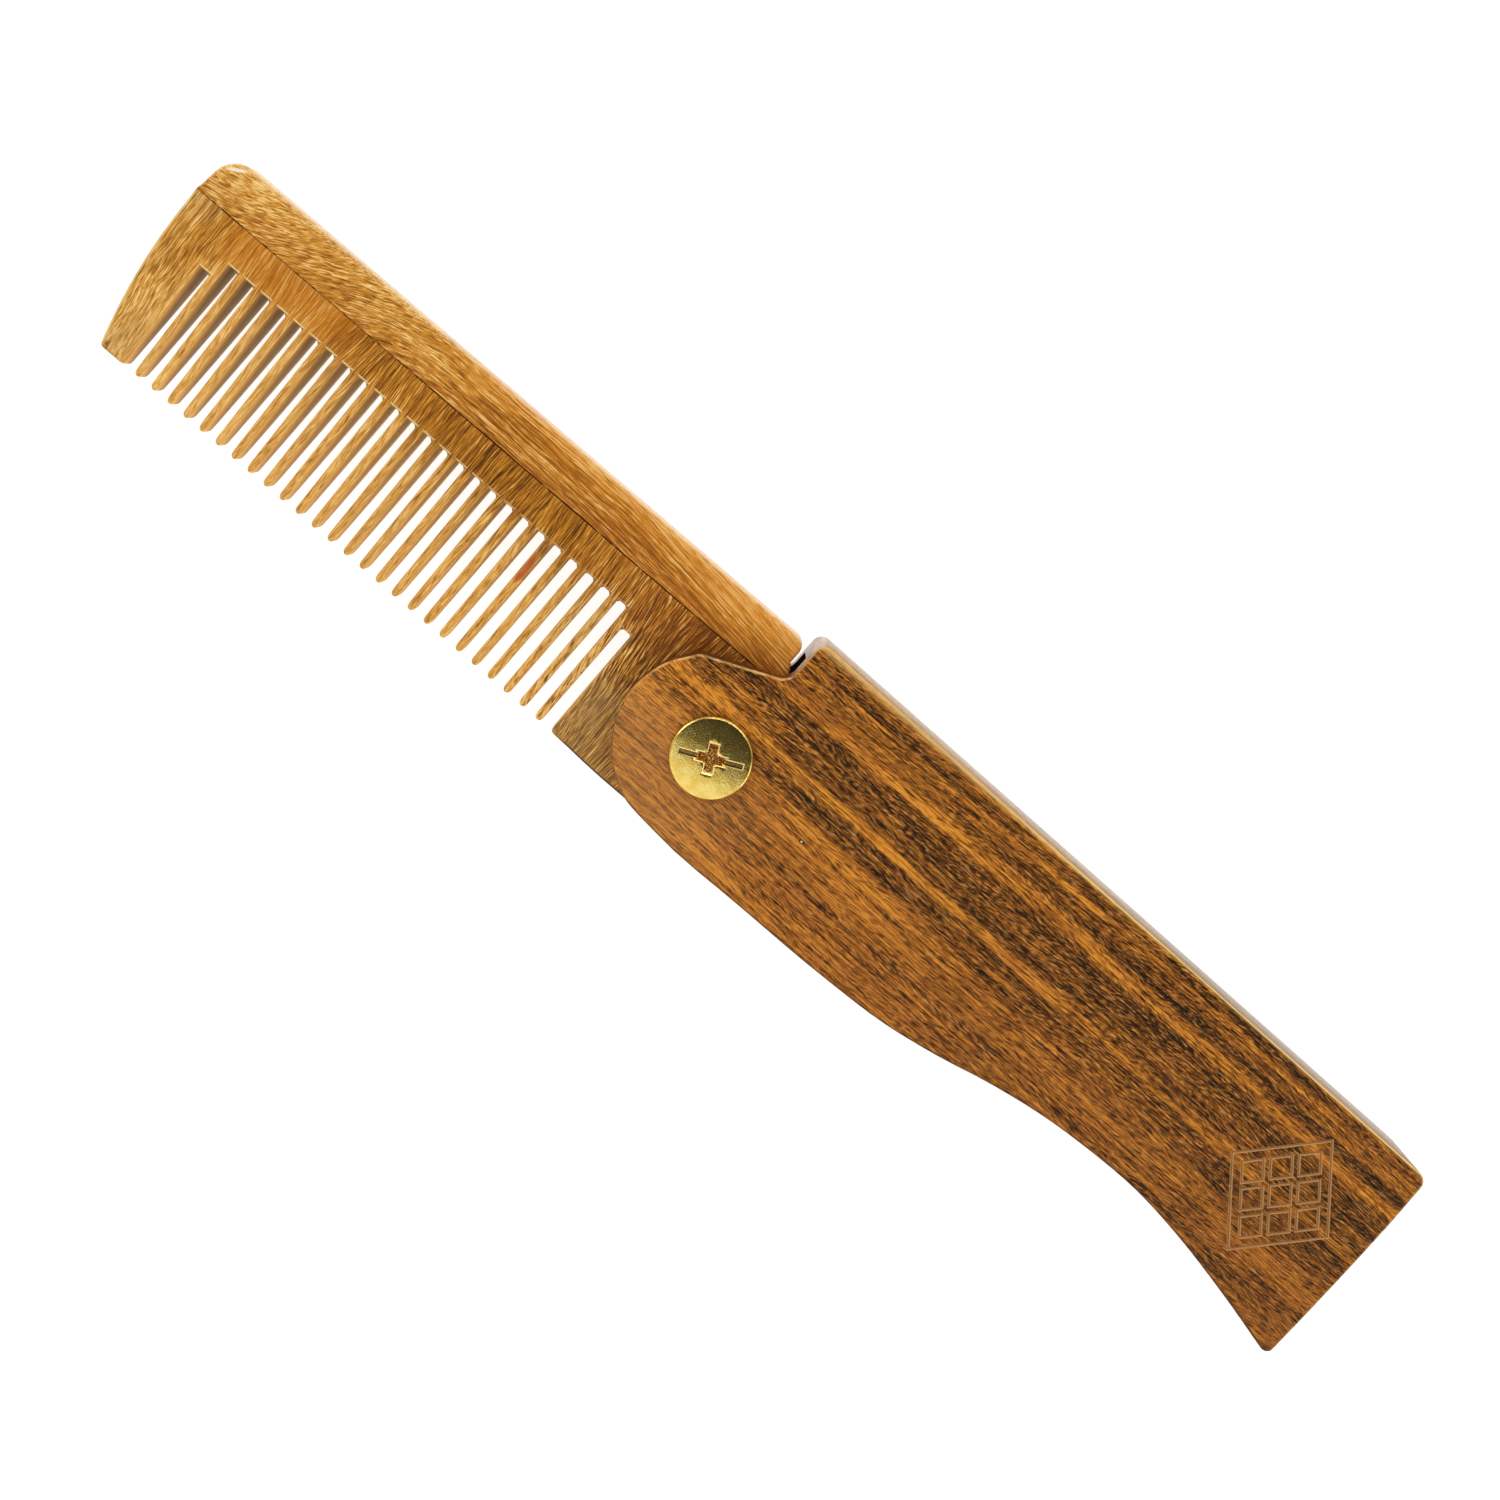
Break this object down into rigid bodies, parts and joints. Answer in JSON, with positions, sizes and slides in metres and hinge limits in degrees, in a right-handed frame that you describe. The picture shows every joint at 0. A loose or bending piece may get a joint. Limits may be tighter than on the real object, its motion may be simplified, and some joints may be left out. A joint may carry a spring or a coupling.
{
  "type": "folding pocket comb",
  "caption": "Folding pocket comb lying open: a slotted wooden handle, a two-wood comb blade and a brass binding screw as its pivot.",
  "frame": {"origin": "on the pivot axis, at the outer face of the rear screw head", "axes": "+Z along the pivot out of the broad front face, +X along the handle to its far end, +Y towards the handle's closed back"},
  "size_m": [0.1867, 0.0316, 0.0123],
  "materials": {
    "handle_wood": "oiled streaked dark wood",
    "spine_wood": "polished light wood, grain along the spine",
    "tooth_wood": "polished light wood, grain along the teeth",
    "brass": "polished"
  },
  "bodies": {
    "handle": {"handle": "handle_wood", "screw": "brass", "post": "brass"},
    "comb": {"comb_spine": "spine_wood", "tooth_board": "tooth_wood"}
  },
  "joints": [
    {"name": "comb_fold", "type": "hinge", "parent": "handle", "child": "comb", "pos_m": [0, 0, 0.0062], "axis": [0, 0, 1], "range_deg": [-3, 182]}
  ]
}
